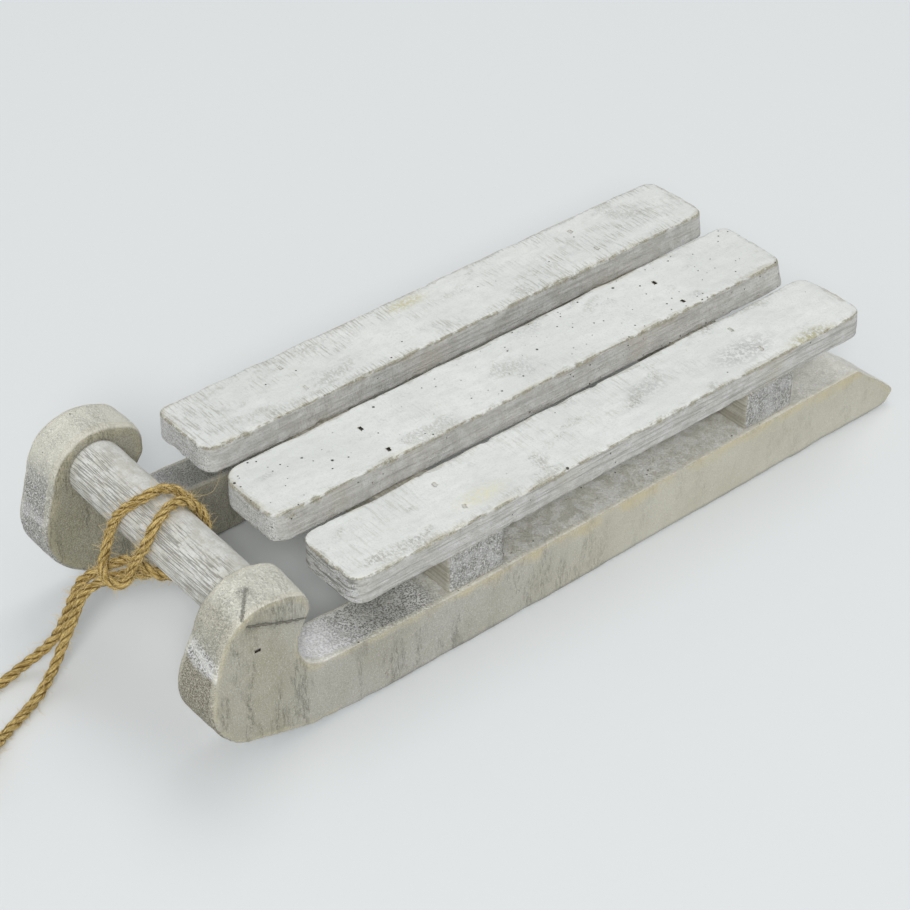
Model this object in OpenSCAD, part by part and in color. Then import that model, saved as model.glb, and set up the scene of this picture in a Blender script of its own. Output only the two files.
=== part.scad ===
// Small whitewashed wooden sled: two sawn runners with curled heads, a round
// crossbar between the heads, two battens across the runners, three deck slats
// bradded to the battens, and a pull cord hitched round the crossbar.
// X is across the sled (left side +X), the heads point to -Y, the soles are at Z = 0.

/* [Overall] */
// Width over the two runners
sled_w = 81; // [72:0.5:110]
// Length from the tail tips to the front of the left head
sled_l = 216; // [190:1:300]
// Height of the straight part of a runner
runner_h = 16.6; // [12:0.1:24]

/* [Left runner] */
// Thickness of the left runner
left_t = 13.5; // [8:0.1:18]
// Height of the left head above the ground
left_head_h = 43.1; // [38:0.1:52]
// Height of the left nose's centre above the ground
left_nose_z = 20; // [17:0.1:26]
// How far the left nose stands back from the front end
left_nose_back = 0; // [0:0.1:6]

/* [Right runner] */
// Thickness of the right runner
right_t = 12; // [8:0.1:18]
// Height of the right head above the ground
right_head_h = 47.2; // [38:0.1:52]
// Height of the right nose's centre above the ground
right_nose_z = 22; // [17:0.1:26]
// How far the right nose stands back from the front end
right_nose_back = 3; // [0:0.1:6]

/* [Head shape] */
// Radius of the round top of a head
knob_r = 12.7; // [11.5:0.1:15]
// Radius of the nose below it
nose_r = 15; // [12:0.1:19]
// How far the round top's centre stands behind the nose
knob_set = 15; // [13:0.1:18]
// Radius of the hollow behind the head
throat_r = 8.6; // [6:0.1:10]
// How far the hollow's centre stands behind the round top's centre
throat_set = 16.8; // [15:0.1:19]
// Height of the hollow's centre above the ground
throat_z = 26.8; // [25:0.1:30]
// Height at which the hollow begins, at the back of the head
lip_z = 35; // [34:0.1:37]
// Radius of the upturn under the front of the sole
upturn_r = 170; // [100:5:300]

/* [Tail] */
// Length of the sloped end of a runner
tail_slope = 15; // [8:0.5:30]
// Height of the blunt tip
tail_tip_h = 3.5; // [1:0.5:6]
// How far the sole is undercut below the tip
tail_under = 2.6; // [0:0.1:5]

/* [Crossbar] */
// Diameter of the crossbar
bar_d = 14; // [10:0.5:16]
// Depth of the bar's centre below the top of the left head
left_bar_drop = 7.8; // [7:0.1:12]
// Depth of the bar's centre below the top of the right head
right_bar_drop = 9.7; // [7:0.1:12]
// Distance from the front end to the bar's centre
bar_at = 17.1; // [15:0.1:20]

/* [Battens] */
// Width of a batten along the sled
batten_w = 16.4; // [10:0.1:24]
// Height of a batten
batten_h = 11.6; // [8:0.1:18]
// How far each batten's end stands in from the runner's outer face
batten_inset = 0.9; // [0:0.1:4]
// Distance from the front end to the front batten's centre
front_batten_at = 74.1; // [66:0.1:90]
// Distance from the tail tips to the rear batten's centre
rear_batten_at = 46.9; // [30:0.1:60]

/* [Slats] */
// Thickness of a slat
slat_t = 7.2; // [5:0.1:12]
// Spacing of the slats, centre to centre
slat_pitch = 29.8; // [24:0.1:36]
// Distance from the front end to the slats' front ends
slat_front_at = 39.6; // [36:0.1:50]
// Corner radius of a slat, seen from above
slat_corner_r = 3; // [0.5:0.1:6]
// Width of the left slat
left_slat_w = 20.5; // [14:0.1:23]
// Distance from the tail tips to the left slat's rear end
left_slat_rear_at = 15.4; // [8:0.1:36]
// Width of the middle slat
middle_slat_w = 21.4; // [14:0.1:23]
// Distance from the tail tips to the middle slat's rear end
middle_slat_rear_at = 14.3; // [8:0.1:36]
// How far the middle slat's front end stands ahead of the left slat's
middle_slat_ahead = 0.9; // [-4:0.1:4]
// Width of the right slat
right_slat_w = 21.1; // [14:0.1:23]
// Distance from the tail tips to the right slat's rear end
right_slat_rear_at = 12.8; // [8:0.1:36]
// How far the right slat's front end stands behind the left slat's
right_slat_behind = 2.1; // [-4:0.1:4]

/* [Brads] */
// Shank width of a brad
shank_w = 1.25; // [0.8:0.05:1.6]
// Shank thickness of a brad
shank_t = 1; // [0.6:0.05:1.4]
// Head width of a brad
head_w = 2; // [1.4:0.1:3]
// Head thickness of a brad
head_t = 0.7; // [0.4:0.1:1.2]
// Depth of a brad's head below the wood's surface
sink = 0.5; // [0.2:0.1:1]
// Length of a slat brad
slat_brad_l = 15; // [10:0.5:17]
// Spacing of the two brads across a slat
slat_brad_gap = 10.5; // [6:0.5:13]
// How far the middle slat's brads stand off its middle, to the left
middle_brad_off = 2.4; // [-3:0.1:3]
// Length of a batten brad
batten_brad_l = 20; // [15:0.5:26]
// Length of a crossbar brad
bar_brad_l = 22; // [18:0.5:30]
// How far a crossbar brad stands in front of the bar's centre
bar_brad_front = 4.4; // [-4.5:0.1:4.5]
// How far a crossbar brad stands below the bar's centre
bar_brad_below = 3.6; // [-4.5:0.1:4.5]

/* [Pull cord] */
// Diameter of the cord
cord_d = 2.5; // [1.5:0.1:2.6]
// Running clearance between the cord and the crossbar
cord_gap = 0.3; // [0.2:0.05:1]
// Radius at the middle of the spare coil's turns
coil_r = 13.75; // [12.5:0.25:15]
// Thickness of the thread that ties the coil
tie_t = 1; // [0.5:0.1:1.5]
// Width of a tie along the coil, in degrees
tie_a = 14; // [8:1:24]

/* [Hidden] */
$fn = 64;
eps = 0.01;
white = [0.91, 0.91, 0.89];
drift = [0.80, 0.79, 0.74];
steel = [0.35, 0.34, 0.33];
jute = [0.72, 0.56, 0.28];

front_y = -sled_l / 2;
tail_y = sled_l / 2;
half_w = sled_w / 2;
deck_z = runner_h + batten_h;
top_z = deck_z + slat_t;
front_batten_y = front_y + front_batten_at;
rear_batten_y = tail_y - rear_batten_at;
slat_y = front_y + slat_front_at;
middle_slat_y = slat_y - middle_slat_ahead;
right_slat_y = slat_y + right_slat_behind;
left_slat_l = tail_y - left_slat_rear_at - slat_y;
middle_slat_l = tail_y - middle_slat_rear_at - middle_slat_y;
right_slat_l = tail_y - right_slat_rear_at - right_slat_y;
left_in = half_w - left_t;
right_in = -half_w + right_t;
left_nose_y = front_y + left_nose_back;
right_nose_y = front_y + right_nose_back;
cord_r = cord_d / 2;
// Middle of each slat's brads, across the sled.
BRAD_X = [-slat_pitch, middle_brad_off, slat_pitch];
arc_step = 9;

// The crossbar's centre line, from the left head's inner face to the right head's.
left_bar = [left_in, front_y + bar_at, left_head_h - left_bar_drop];
right_bar = [right_in, front_y + bar_at, right_head_h - right_bar_drop];
bar_span = norm(left_bar - right_bar);
bar_dir = (left_bar - right_bar) / bar_span;
function bar_point(x) = right_bar + (left_bar - right_bar) * (x - right_in) / (left_in - right_in);

// ---- wood ----

function arc(c, r, from, to) =
    let (n = max(2, ceil(abs(to - from) / arc_step)))
    [for (i = [0 : n]) let (a = from + (to - from) * i / n) c + r * [cos(a), sin(a)]];

// Outline of a runner in Y and Z: sole, nose, round top, hollow behind the head, top edge, tail.
function runner_outline(nose_y, nose_z, head_h) =
    let (knob = [nose_y + knob_set, head_h - knob_r],
         nose = [nose_y + nose_r, nose_z],
         throat = [knob[0] + throat_set, throat_z],
         upturn = [nose[0] + (upturn_r - nose_r) * sin(13), upturn_r],
         lip = asin((lip_z - knob[1]) / knob_r))
    concat([[tail_y - tail_under, 0]],
           arc(upturn, upturn_r, 270, 262),
           arc(nose, nose_r, 246, 172),
           arc(knob, knob_r, 166, lip),
           arc(throat, throat_r, 166, 275),
           [[front_batten_y - batten_w / 2 - 2, runner_h],
            [tail_y - tail_slope, runner_h],
            [tail_y, tail_tip_h]]);

module runner_blank(x, t, nose_y, nose_z, head_h) {
    translate([x, 0, 0])
        rotate([90, 0, 90])
            linear_extrude(t) polygon(runner_outline(nose_y, nose_z, head_h));
}

module left_runner() {
    color(drift) difference() {
        runner_blank(left_in, left_t, left_nose_y, left_nose_z, left_head_h);
        batten_brad_pair(front_batten_y, "hole");
        batten_brad_pair(rear_batten_y, "hole");
        bar_brad(1, "hole");
    }
}

module right_runner() {
    color(drift) difference() {
        runner_blank(-half_w, right_t, right_nose_y, right_nose_z, right_head_h);
        batten_brad_pair(front_batten_y, "hole");
        batten_brad_pair(rear_batten_y, "hole");
        bar_brad(-1, "hole");
    }
}

// The bar is cut off flush with the inner faces of the two heads.
module crossbar() {
    tilt = asin(-bar_dir[2]);
    color(white) difference() {
        intersection() {
            translate(right_bar - 5 * bar_dir)
                rotate([0, 90 + tilt, 0])
                    cylinder(d = bar_d, h = bar_span + 10);
            translate([right_in, front_y - 50, 0])
                cube([left_in - right_in, 200, 2 * left_head_h]);
        }
        bar_brad(1, "hole");
        bar_brad(-1, "hole");
    }
}

module batten_blank(y) {
    translate([-half_w + batten_inset, y - batten_w / 2, runner_h])
        cube([sled_w - 2 * batten_inset, batten_w, batten_h]);
}

module front_batten() {
    color(white) difference() {
        batten_blank(front_batten_y);
        batten_brad_pair(front_batten_y, "hole");
        for (x = BRAD_X) slat_brad_pair(x, front_batten_y, "hole");
    }
}

module rear_batten() {
    color(white) difference() {
        batten_blank(rear_batten_y);
        batten_brad_pair(rear_batten_y, "hole");
        for (x = BRAD_X) slat_brad_pair(x, rear_batten_y, "hole");
    }
}

// A slat centred on x, with its front end at y, its corners rounded in plan and its brads at brad_x.
module slat(x, y, w, l, brad_x) {
    r = slat_corner_r;
    color(white) difference() {
        translate([x - w / 2, y, deck_z]) linear_extrude(slat_t) union() {
            translate([r, 0]) square([w - 2 * r, l]);
            translate([0, r]) square([w, l - 2 * r]);
            for (cx = [r, w - r], cy = [r, l - r]) translate([cx, cy]) circle(r);
        }
        slat_brad_pair(brad_x, front_batten_y, "hole");
        slat_brad_pair(brad_x, rear_batten_y, "hole");
    }
}

module left_slat() slat(slat_pitch, slat_y, left_slat_w, left_slat_l, BRAD_X[2]);
module middle_slat() slat(0, middle_slat_y, middle_slat_w, middle_slat_l, BRAD_X[1]);
module right_slat() slat(-slat_pitch, right_slat_y, right_slat_w, right_slat_l, BRAD_X[0]);

// ---- brads ----

// A brad along -Z with its head's top at the origin's height less the sink;
// as a "hole" it also clears the pocket above the head.
module brad(l, as) {
    pocket = as == "hole" ? sink + eps : 0;
    translate([-shank_w / 2, -shank_t / 2, -sink - l]) cube([shank_w, shank_t, l - eps]);
    translate([-head_w / 2, -shank_w / 2, -sink - head_t]) cube([head_w, shank_w, head_t + pocket]);
}

module slat_brad_pair(x, y, as) {
    for (s = [-1, 1]) translate([x + s * slat_brad_gap / 2, y, top_z]) brad(slat_brad_l, as);
}

// One brad through each end of a batten into the runner below it, clear of the slat brads.
module batten_brad_pair(y, as) {
    side = batten_w / 2 - 3;
    translate([left_in + left_t / 2, y + side, deck_z]) brad(batten_brad_l, as);
    translate([right_in - right_t / 2, y + side, deck_z]) brad(batten_brad_l, as);
}

// The brad through a head into the end of the crossbar; side is 1 on the left and -1 on the right.
module bar_brad(side, as) {
    end = side > 0 ? left_bar : right_bar;
    translate([side * half_w, end[1] - bar_brad_front, end[2] - bar_brad_below])
        rotate([0, side * 90, 0]) rotate([0, 0, 90]) brad(bar_brad_l, as);
}

module slat_brads(x) {
    color(steel) {
        slat_brad_pair(x, front_batten_y, "brad");
        slat_brad_pair(x, rear_batten_y, "brad");
    }
}

module left_slat_brads() slat_brads(BRAD_X[2]);
module middle_slat_brads() slat_brads(BRAD_X[1]);
module right_slat_brads() slat_brads(BRAD_X[0]);
module front_batten_brads() color(steel) batten_brad_pair(front_batten_y, "brad");
module rear_batten_brads() color(steel) batten_brad_pair(rear_batten_y, "brad");

module crossbar_brads() {
    color(steel) for (side = [-1, 1]) bar_brad(side, "brad");
}

// ---- pull cord ----

// The hitch as [x, angle round the bar, height above a close wrap]. It enters under the
// bight, goes under and up behind the bar, over, down into the bight, and back the same way.
HITCH = [[-7.4, 215, 6.9], [-5.8, 215, 4.2], [-3.6, 216, 1.8], [-1.4, 217, 1], [0.8, 219, 0.5],
         [3, 223, 0.2], [4.5, 236, 0], [4.9, 262, 0], [4.9, 290, 0], [4.6, 318, 0], [3.7, 345, 0],
         [2.6, 368, 0.1], [1.9, 386, 0.2], [1.5, 402, 0.1], [1.4, 414, 0], [1.6, 431, 0], [2.4, 450, 0],
         [3.4, 468, 0], [4, 486, 0], [4.4, 504, 0], [4, 522, 0], [2.4, 543, 0.3], [1.1, 560, 1.8],
         [1.3, 568, 4.2], [1.2, 570, 6.2], [-0.2, 569, 7.5], [-2.2, 567, 8], [-4.2, 564, 7.4],
         [-6, 563, 5.9], [-7.8, 561, 3.4], [-9, 550, 0.8], [-8.2, 532, 0], [-7.2, 514, 0],
         [-5.9, 496, 0], [-4.7, 480, 0], [-4, 464, 0], [-3.9, 448, 0], [-4, 430, 0], [-3.8, 412, 0],
         [-2.9, 396, 0], [-1.2, 378, 0], [0.4, 356, 0], [1.4, 330, 0], [1.9, 304, 0], [2.1, 276, 0],
         [1.8, 250, 0.3], [0.3, 231, 2.3], [-1.5, 222, 3.9], [-3.6, 217, 6.2], [-5, 215, 9]];
// The left leg, from the hitch down to the ground and along it to the coil.
LEFT_LEG = [[-10.6, -107.7, 23.9], [-11.8, -109.5, 20], [-12.6, -111.4, 15.4], [-13.4, -113.6, 10.8],
            [-14.8, -116, 7], [-16.2, -119, 4.2], [-16.8, -123, 2.4], [-16.4, -127.4, 1.5],
            [-16, -132, 1.3], [-17.2, -137.4, 1.5], [-20.2, -143, 1.9], [-24.3, -149.2, 2.3]];
// The right leg, from the coil along the ground and up to the hitch.
RIGHT_LEG = [[6.3, -149.2, 4.8], [3.4, -144.4, 3.4], [0.6, -140, 1.8], [-2, -135.2, 1.3],
             [-4.2, -130, 1.4], [-6.4, -124.6, 2.2], [-8.2, -120.6, 3.8], [-9.4, -117.4, 6.4],
             [-9.9, -114.6, 10.4], [-9.5, -112.2, 15], [-8.7, -110.6, 19.4], [-7.5, -109.4, 23.2]];
// The middle of the spare coil, which lies on its two ties.
COIL_AT = [-9, -158];
TIE_ANGLES = [210, 330];

wrap_r = bar_d / 2 + cord_r + cord_gap;
function on_bar(p) = let (c = bar_point(p[0]), r = wrap_r + p[2])
    [p[0], c[1] + r * cos(p[1]), c[2] + r * sin(p[1])];
hitch_path = [for (p = HITCH) on_bar(p)];
// Each leg leaves the hitch in line with it, so that their ends lie face to face.
leg_lead = 2.6;
first_end = hitch_path[0];
last_end = hitch_path[len(hitch_path) - 1];
left_path = concat([first_end, first_end + leg_lead * unit(first_end - hitch_path[1])], LEFT_LEG);
right_path = concat(RIGHT_LEG,
    [last_end + leg_lead * unit(last_end - hitch_path[len(hitch_path) - 2]), last_end]);

function unit(v) = v / norm(v);
function tangents(p) = let (n = len(p) - 1)
    [for (i = [0 : n]) unit(p[min(i + 1, n)] - p[max(i - 1, 0)])];
// Normals that turn as little as they can from ring to ring.
function normals(t, i = 0, out = []) =
    i == len(t) ? out
    : let (last = i == 0 ? [0.31, 0.52, 0.79] : out[i - 1])
      normals(t, i + 1, concat(out, [unit(last - t[i] * (t[i] * last))]));

// A round tube of radius r along the points p, as one closed polyhedron.
module tube(p, r, sides = 8) {
    t = tangents(p);
    u = normals(t);
    rings = len(p);
    points = [for (i = [0 : rings - 1], k = [0 : sides - 1])
        let (a = 360 * k / sides) p[i] + r * (cos(a) * u[i] + sin(a) * cross(t[i], u[i]))];
    walls = [for (i = [0 : rings - 2], k = [0 : sides - 1])
        let (a = i * sides + k, b = i * sides + (k + 1) % sides)
        each [[a, a + sides, b], [b, a + sides, b + sides]]];
    first = [for (k = [0 : sides - 1]) k];
    last = [for (k = [sides - 1 : -1 : 0]) (rings - 1) * sides + k];
    polyhedron(points, concat([first], walls, [last]));
}

module cord_hitch() color(jute) tube(hitch_path, cord_r);
module cord_left_leg() color(jute) tube(left_path, cord_r);
module cord_right_leg() color(jute) tube(right_path, cord_r);

// Two turns side by side and two high, drawn as the solid that they fill.
module cord_coil() {
    color(jute) translate([COIL_AT[0], COIL_AT[1], tie_t])
        rotate_extrude() translate([coil_r - cord_d, 0]) square(2 * cord_d);
}

module cord_ties() {
    color(jute) for (a = TIE_ANGLES)
        translate([COIL_AT[0], COIL_AT[1], 0]) rotate([0, 0, a - tie_a / 2])
            rotate_extrude(angle = tie_a) translate([coil_r - cord_d, tie_t]) difference() {
                translate([-tie_t, -tie_t]) square(2 * cord_d + 2 * tie_t);
                square(2 * cord_d);
            }
}

left_runner();
right_runner();
crossbar();
front_batten();
rear_batten();
left_slat();
middle_slat();
right_slat();
left_slat_brads();
middle_slat_brads();
right_slat_brads();
front_batten_brads();
rear_batten_brads();
crossbar_brads();
cord_hitch();
cord_left_leg();
cord_right_leg();
cord_coil();
cord_ties();
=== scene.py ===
import math
import random
from functools import reduce

import bpy
import numpy as np
from mathutils import Matrix, Vector, noise
from mathutils.geometry import delaunay_2d_cdt


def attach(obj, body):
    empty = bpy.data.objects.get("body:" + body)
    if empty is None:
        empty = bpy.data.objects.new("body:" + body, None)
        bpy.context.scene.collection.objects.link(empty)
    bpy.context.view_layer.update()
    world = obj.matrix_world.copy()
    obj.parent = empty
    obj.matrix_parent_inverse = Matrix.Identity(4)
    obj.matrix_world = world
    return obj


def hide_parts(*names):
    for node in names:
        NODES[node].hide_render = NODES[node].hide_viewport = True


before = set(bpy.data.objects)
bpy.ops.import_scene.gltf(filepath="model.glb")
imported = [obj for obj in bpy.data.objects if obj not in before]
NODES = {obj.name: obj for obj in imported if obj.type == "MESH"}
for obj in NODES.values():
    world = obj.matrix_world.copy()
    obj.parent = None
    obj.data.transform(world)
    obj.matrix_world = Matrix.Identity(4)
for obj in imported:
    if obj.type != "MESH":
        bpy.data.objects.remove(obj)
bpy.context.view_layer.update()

MM = 0.001
SCENE = bpy.context.scene


# ---- camera, floor and light ----

def look(name, place, forward, roll):
    """Camera at place, looking along forward, turned by roll degrees about its own axis."""
    cam = bpy.data.objects.new(name, bpy.data.cameras.new(name))
    SCENE.collection.objects.link(cam)
    back = -Vector(forward).normalized()
    right = Vector((0, 0, 1)).cross(back).normalized()
    up = back.cross(right)
    turn = Matrix((right, up, back)).transposed() @ Matrix.Rotation(math.radians(roll), 3, "Z")
    cam.matrix_world = Matrix.Translation(Vector(place)) @ turn.to_4x4()
    return cam


CAMERA_AT = (0.34511, -0.29054, 0.36374)
CAMERA_WAY = (-0.61007, 0.49993, -0.61473)
CAMERA_ROLL = -0.587
camera = look("camera", CAMERA_AT, CAMERA_WAY, CAMERA_ROLL)
camera.data.sensor_width = 36
camera.data.lens = 91.2
camera.data.clip_start = 0.01
SCENE.camera = camera


def area_light(name, place, size, power):
    """A round lamp at place, facing the deck."""
    data = bpy.data.lights.new(name, "AREA")
    data.shape = "DISK"
    data.size = size
    data.energy = power
    lamp = bpy.data.objects.new(name, data)
    SCENE.collection.objects.link(lamp)
    lamp.location = place
    lamp.rotation_euler = (Vector(DECK_AT) - Vector(place)).to_track_quat("-Z", "Y").to_euler()


DECK_AT = (0, 0, 0.02)
SKY, SKY_STRENGTH = (0.975, 0.99, 1, 1), 0.51
area_light("key", (-0.5, 0.9, 1.9), 1.2, 7)
area_light("front", (2.0, -1.64, 2.02), 1.1, 55)

world = bpy.data.worlds.new("studio")
SCENE.world = world
world.use_nodes = True
world.node_tree.nodes["Background"].inputs["Color"].default_value = SKY
world.node_tree.nodes["Background"].inputs["Strength"].default_value = SKY_STRENGTH
SCENE.view_settings.view_transform = "Standard"


def plain(name, colour, roughness=0.6):
    mat = bpy.data.materials.new(name)
    mat.use_nodes = True
    shader = mat.node_tree.nodes["Principled BSDF"]
    shader.inputs["Base Color"].default_value = (*colour, 1)
    shader.inputs["Roughness"].default_value = roughness
    return mat


FLOOR_SIZE, FLOOR_Z = 8, -0.2 * MM
bpy.ops.mesh.primitive_plane_add(size=FLOOR_SIZE, location=(0, 0, FLOOR_Z))
floor = bpy.context.object
floor.name = "floor"
floor.data.materials.append(plain("floor", (0.80, 0.825, 0.83), 0.9))

MAT = {
    "white": plain("white_wood", (0.80, 0.80, 0.78)),
    "drift": plain("drift_wood", (0.68, 0.66, 0.60)),
    "steel": plain("brad_steel", (0.1, 0.09, 0.09)),
    "jute": plain("jute", (0.45, 0.28, 0.09), 0.9),
}
for name, obj in NODES.items():
    kind = ("steel" if name.endswith("_brads") else "jute" if name.startswith("cord")
            else "drift" if name.endswith("_runner") else "white")
    obj.data.materials.clear()
    obj.data.materials.append(MAT[kind])


# ---- sizes of the sled and its cord, in mm ----

HALF_W = 40.5                   # from the middle to a runner's outer face
LEFT_T, RIGHT_T = 13.5, 12      # thickness of each runner
FRONT_Y, TAIL_Y = -108, 108
RUNNER_H = 16.6                 # top of the runners behind the heads
BATTEN_TOP, DECK_TOP = 28.2, 35.4
BATTEN_Y = {"front": -33.9, "rear": 61.1}
BATTEN_L, BATTEN_W = 79.2, 16.4
BAR_R = 7
CORD_R = 1.25


# ---- materials ----

class Paint:
    """A node material built up by code. Positions are in mm, in the object's own space."""

    def __init__(self, name, roughness=0.8):
        self.mat = bpy.data.materials.new(name)
        self.mat.use_nodes = True
        self.tree = self.mat.node_tree
        self.shader = self.tree.nodes["Principled BSDF"]
        self.shader.inputs["Roughness"].default_value = roughness
        self.shader.inputs["Specular IOR Level"].default_value = 0.3
        coord = self.new("ShaderNodeTexCoord")
        self.p = self.vec("SCALE", coord.outputs["Object"], scale=1000)
        self.uv = coord.outputs["UV"]
        self.nx, self.ny, self.nz = self.xyz(coord.outputs["Normal"])
        self.x, self.y, self.z = self.xyz(self.p)
        attribute = self.new("ShaderNodeAttribute")
        attribute.attribute_name = "edge"
        self.edge = attribute.outputs["Fac"]

    def new(self, kind, **props):
        """A new node of this kind with these properties."""
        node = self.tree.nodes.new(kind)
        for key, value in props.items():
            setattr(node, key, value)
        return node

    def put(self, socket, value):
        """Links another node's output to the socket, or sets the socket to a plain value."""
        if isinstance(value, bpy.types.NodeSocket):
            self.tree.links.new(value, socket)
        else:
            socket.default_value = (*value, 1) if socket.type == "RGBA" and len(value) == 3 else value

    def fill(self, node, *values):
        for socket, value in zip(node.inputs, values):
            self.put(socket, value)
        return node

    def math(self, op, *values, clamp=False):
        return self.fill(self.new("ShaderNodeMath", operation=op, use_clamp=clamp), *values).outputs[0]

    def vec(self, op, *values, scale=None):
        node = self.fill(self.new("ShaderNodeVectorMath", operation=op), *values)
        if scale is not None:
            self.put(node.inputs["Scale"], scale)
        return node.outputs["Value" if op in ("LENGTH", "DOT_PRODUCT", "DISTANCE") else "Vector"]

    def xyz(self, v):
        return tuple(self.fill(self.new("ShaderNodeSeparateXYZ"), v).outputs)

    def join(self, x, y, z):
        return self.fill(self.new("ShaderNodeCombineXYZ"), x, y, z).outputs[0]

    def noise(self, scale, detail=2, rough=0.55, warp=0, at=None, seed=0):
        """Noise from 0 to 1 at scale features a mm, which may differ along x, y and z."""
        scale = (scale,) * 3 if isinstance(scale, (int, float)) else scale
        v = self.vec("MULTIPLY_ADD", self.p if at is None else at, scale,
                     (seed * 3.7, seed * 9.1, seed * 5.3))
        node = self.new("ShaderNodeTexNoise")
        for key, value in (("Vector", v), ("Scale", 1.0), ("Detail", detail), ("Roughness", rough),
                           ("Distortion", warp)):
            self.put(node.inputs[key], value)
        return node.outputs["Fac"]

    def dots(self, scale, size, share, seed=0):
        """Round dots, about scale to a mm, of which only a share shows."""
        v = self.vec("MULTIPLY_ADD", self.p, (scale,) * 3, (seed * 4.1, seed * 7.7, seed * 2.3))
        node = self.new("ShaderNodeTexVoronoi")
        self.put(node.inputs["Vector"], v)
        self.put(node.inputs["Scale"], 1.0)
        pick = self.xyz(node.outputs["Color"])
        reach = self.math("MULTIPLY", pick[1], size)
        spot = self.ramp(node.outputs["Distance"], reach, self.math("MULTIPLY", reach, 0.45))
        return self.math("MULTIPLY", spot, self.math("LESS_THAN", pick[0], share))

    def ramp(self, value, low, high):
        """0 at low to 1 at high, smoothly; low may be the larger."""
        node = self.new("ShaderNodeMapRange", interpolation_type="SMOOTHSTEP")
        return self.fill(node, value, low, high, 0.0, 1.0).outputs[0]

    def times(self, *values):
        return reduce(lambda a, b: self.math("MULTIPLY", a, b), values)

    def plus(self, *values):
        return reduce(lambda a, b: self.math("ADD", a, b), values)

    def mix(self, share, a, b):
        node = self.new("ShaderNodeMix", data_type="RGBA")
        self.put(node.inputs["Factor"], share)
        for socket, value in zip(node.inputs[6:8], (a, b)):      # the colour sockets A and B
            self.put(socket, value)
        return node.outputs[2]

    def over(self, colour, *layers):
        """The colour with each (share, tint) laid over it in turn."""
        for share, tint in layers:
            colour = self.mix(share, colour, tint)
        return colour

    def segment(self, a, b):
        """Distance in mm from the line from a to b."""
        a, b = Vector(a), Vector(b)
        ab = b - a
        pa = self.vec("SUBTRACT", self.p, tuple(a))
        t = self.math("DIVIDE", self.vec("DOT_PRODUCT", pa, tuple(ab)), ab.length_squared, clamp=True)
        return self.vec("DISTANCE", pa, self.vec("SCALE", tuple(ab), scale=t))

    def polyline(self, points):
        """Distance in mm from the line through the points."""
        parts = [self.segment(a, b) for a, b in zip(points, points[1:])]
        return reduce(lambda a, b: self.math("MINIMUM", a, b), parts)

    def blob(self, centre, size):
        """1 at the centre, falling to 0 at size mm away, which may differ along x, y and z."""
        size = (size,) * 3 if isinstance(size, (int, float)) else size
        v = self.vec("DIVIDE", self.vec("SUBTRACT", self.p, centre), size)
        return self.ramp(self.vec("LENGTH", v), 1.0, 0.2)

    def finish(self, colour, height):
        """Sets the colour, and a bump of height in mm."""
        self.put(self.shader.inputs["Base Color"], colour)
        bump = self.new("ShaderNodeBump")
        self.put(bump.inputs["Height"], height)
        bump.inputs["Distance"].default_value = MM
        bump.inputs["Strength"].default_value = 1.0
        self.put(self.shader.inputs["Normal"], bump.outputs[0])
        return self.mat


WHITE, DARK = (0.825, 0.84, 0.81), (0.09, 0.08, 0.07)


def slat_top(m, seed, saw, ghost, stains):
    """The painted upper face: brush marks, grit, saw marks, rubbed patches and stains."""
    stain = m.ramp(m.plus(m.times(m.edge, 0.45), m.noise(0.1, 3, 0.6, seed=seed + 9)), 0.9, 1.2)
    top = m.over(m.mix(m.ramp(m.broad, 0.3, 0.7), (0.755, 0.775, 0.745), WHITE),
                 (m.times(m.ramp(m.patch, 0.46, 0.7), 0.35), (0.70, 0.705, 0.68)),
                 (m.times(m.ramp(m.brush, 0.48, 0.66), 0.3), (0.68, 0.68, 0.655)),
                 (m.times(m.ramp(m.grit, 0.5, 0.66), 0.4), (0.62, 0.615, 0.585)),
                 (m.times(m.lines, saw), (0.50, 0.485, 0.43)),
                 (m.times(m.thin, ghost), (0.46, 0.45, 0.41)),
                 (m.times(stain, 0.45), (0.60, 0.55, 0.40)))
    for centre, size, tint, weight in stains:
        broken = m.ramp(m.noise(1.1, 3, 0.7, seed=seed + 17), 0.38, 0.58)
        top = m.mix(m.times(m.blob(centre, size), broken, weight), top, tint)
    rubbed = m.mix(m.ramp(m.grit, 0.4, 0.6), (0.50, 0.46, 0.34), (0.30, 0.28, 0.22))
    return m.mix(m.times(m.worn, 0.3), top, rubbed)


def slat_side(m, seed, pores, groove, side_unshaded):
    """The sides, with lines along the grain, and the speckled ends, all under a painted shade."""
    side = m.over(m.mix(m.ramp(m.patch, 0.35, 0.65), (0.64, 0.635, 0.60), (0.80, 0.80, 0.78)),
                  (m.times(m.ramp(m.grain, 0.45, 0.65), 0.25 + groove * 0.4), (0.29, 0.28, 0.25)),
                  (m.times(m.ramp(m.grit, 0.5, 0.64), 0.4), (0.38, 0.37, 0.33)),
                  (m.times(m.ramp(m.grit, 0.44, 0.34), 0.4), (0.78, 0.78, 0.77)),
                  (m.times(m.ramp(m.broad, 0.5, 0.7), 0.4), (0.58, 0.54, 0.44)))
    salt = m.ramp(m.noise(2.8, 3, 0.8, seed=seed + 11), 0.46, 0.6)
    layered = m.ramp(m.noise((0.25, 0.25, 1.8), 2, seed=seed + 15), 0.5, 0.58)
    butt = m.over(m.mix(salt, (0.88, 0.89, 0.88), (0.34, 0.335, 0.31)),
                  (m.times(m.ramp(m.patch, 0.45, 0.6), 0.6), (0.74, 0.745, 0.735)),
                  (m.times(layered, groove * 0.8), (0.16, 0.15, 0.13)),
                  (m.dots(0.75, 0.36, pores * 1.6, seed=seed + 16), DARK))
    end = m.ramp(m.math("ABSOLUTE", m.ny), 0.5, 0.8)
    # Painted shade: the sides and ends, turned away from the light, are darkened toward grey-brown.
    return m.over(side, (end, butt), (1.0 - side_unshaded, (0.30, 0.29, 0.26)),
                  (m.times(m.worn, 0.4), (0.36, 0.33, 0.25)))


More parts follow.
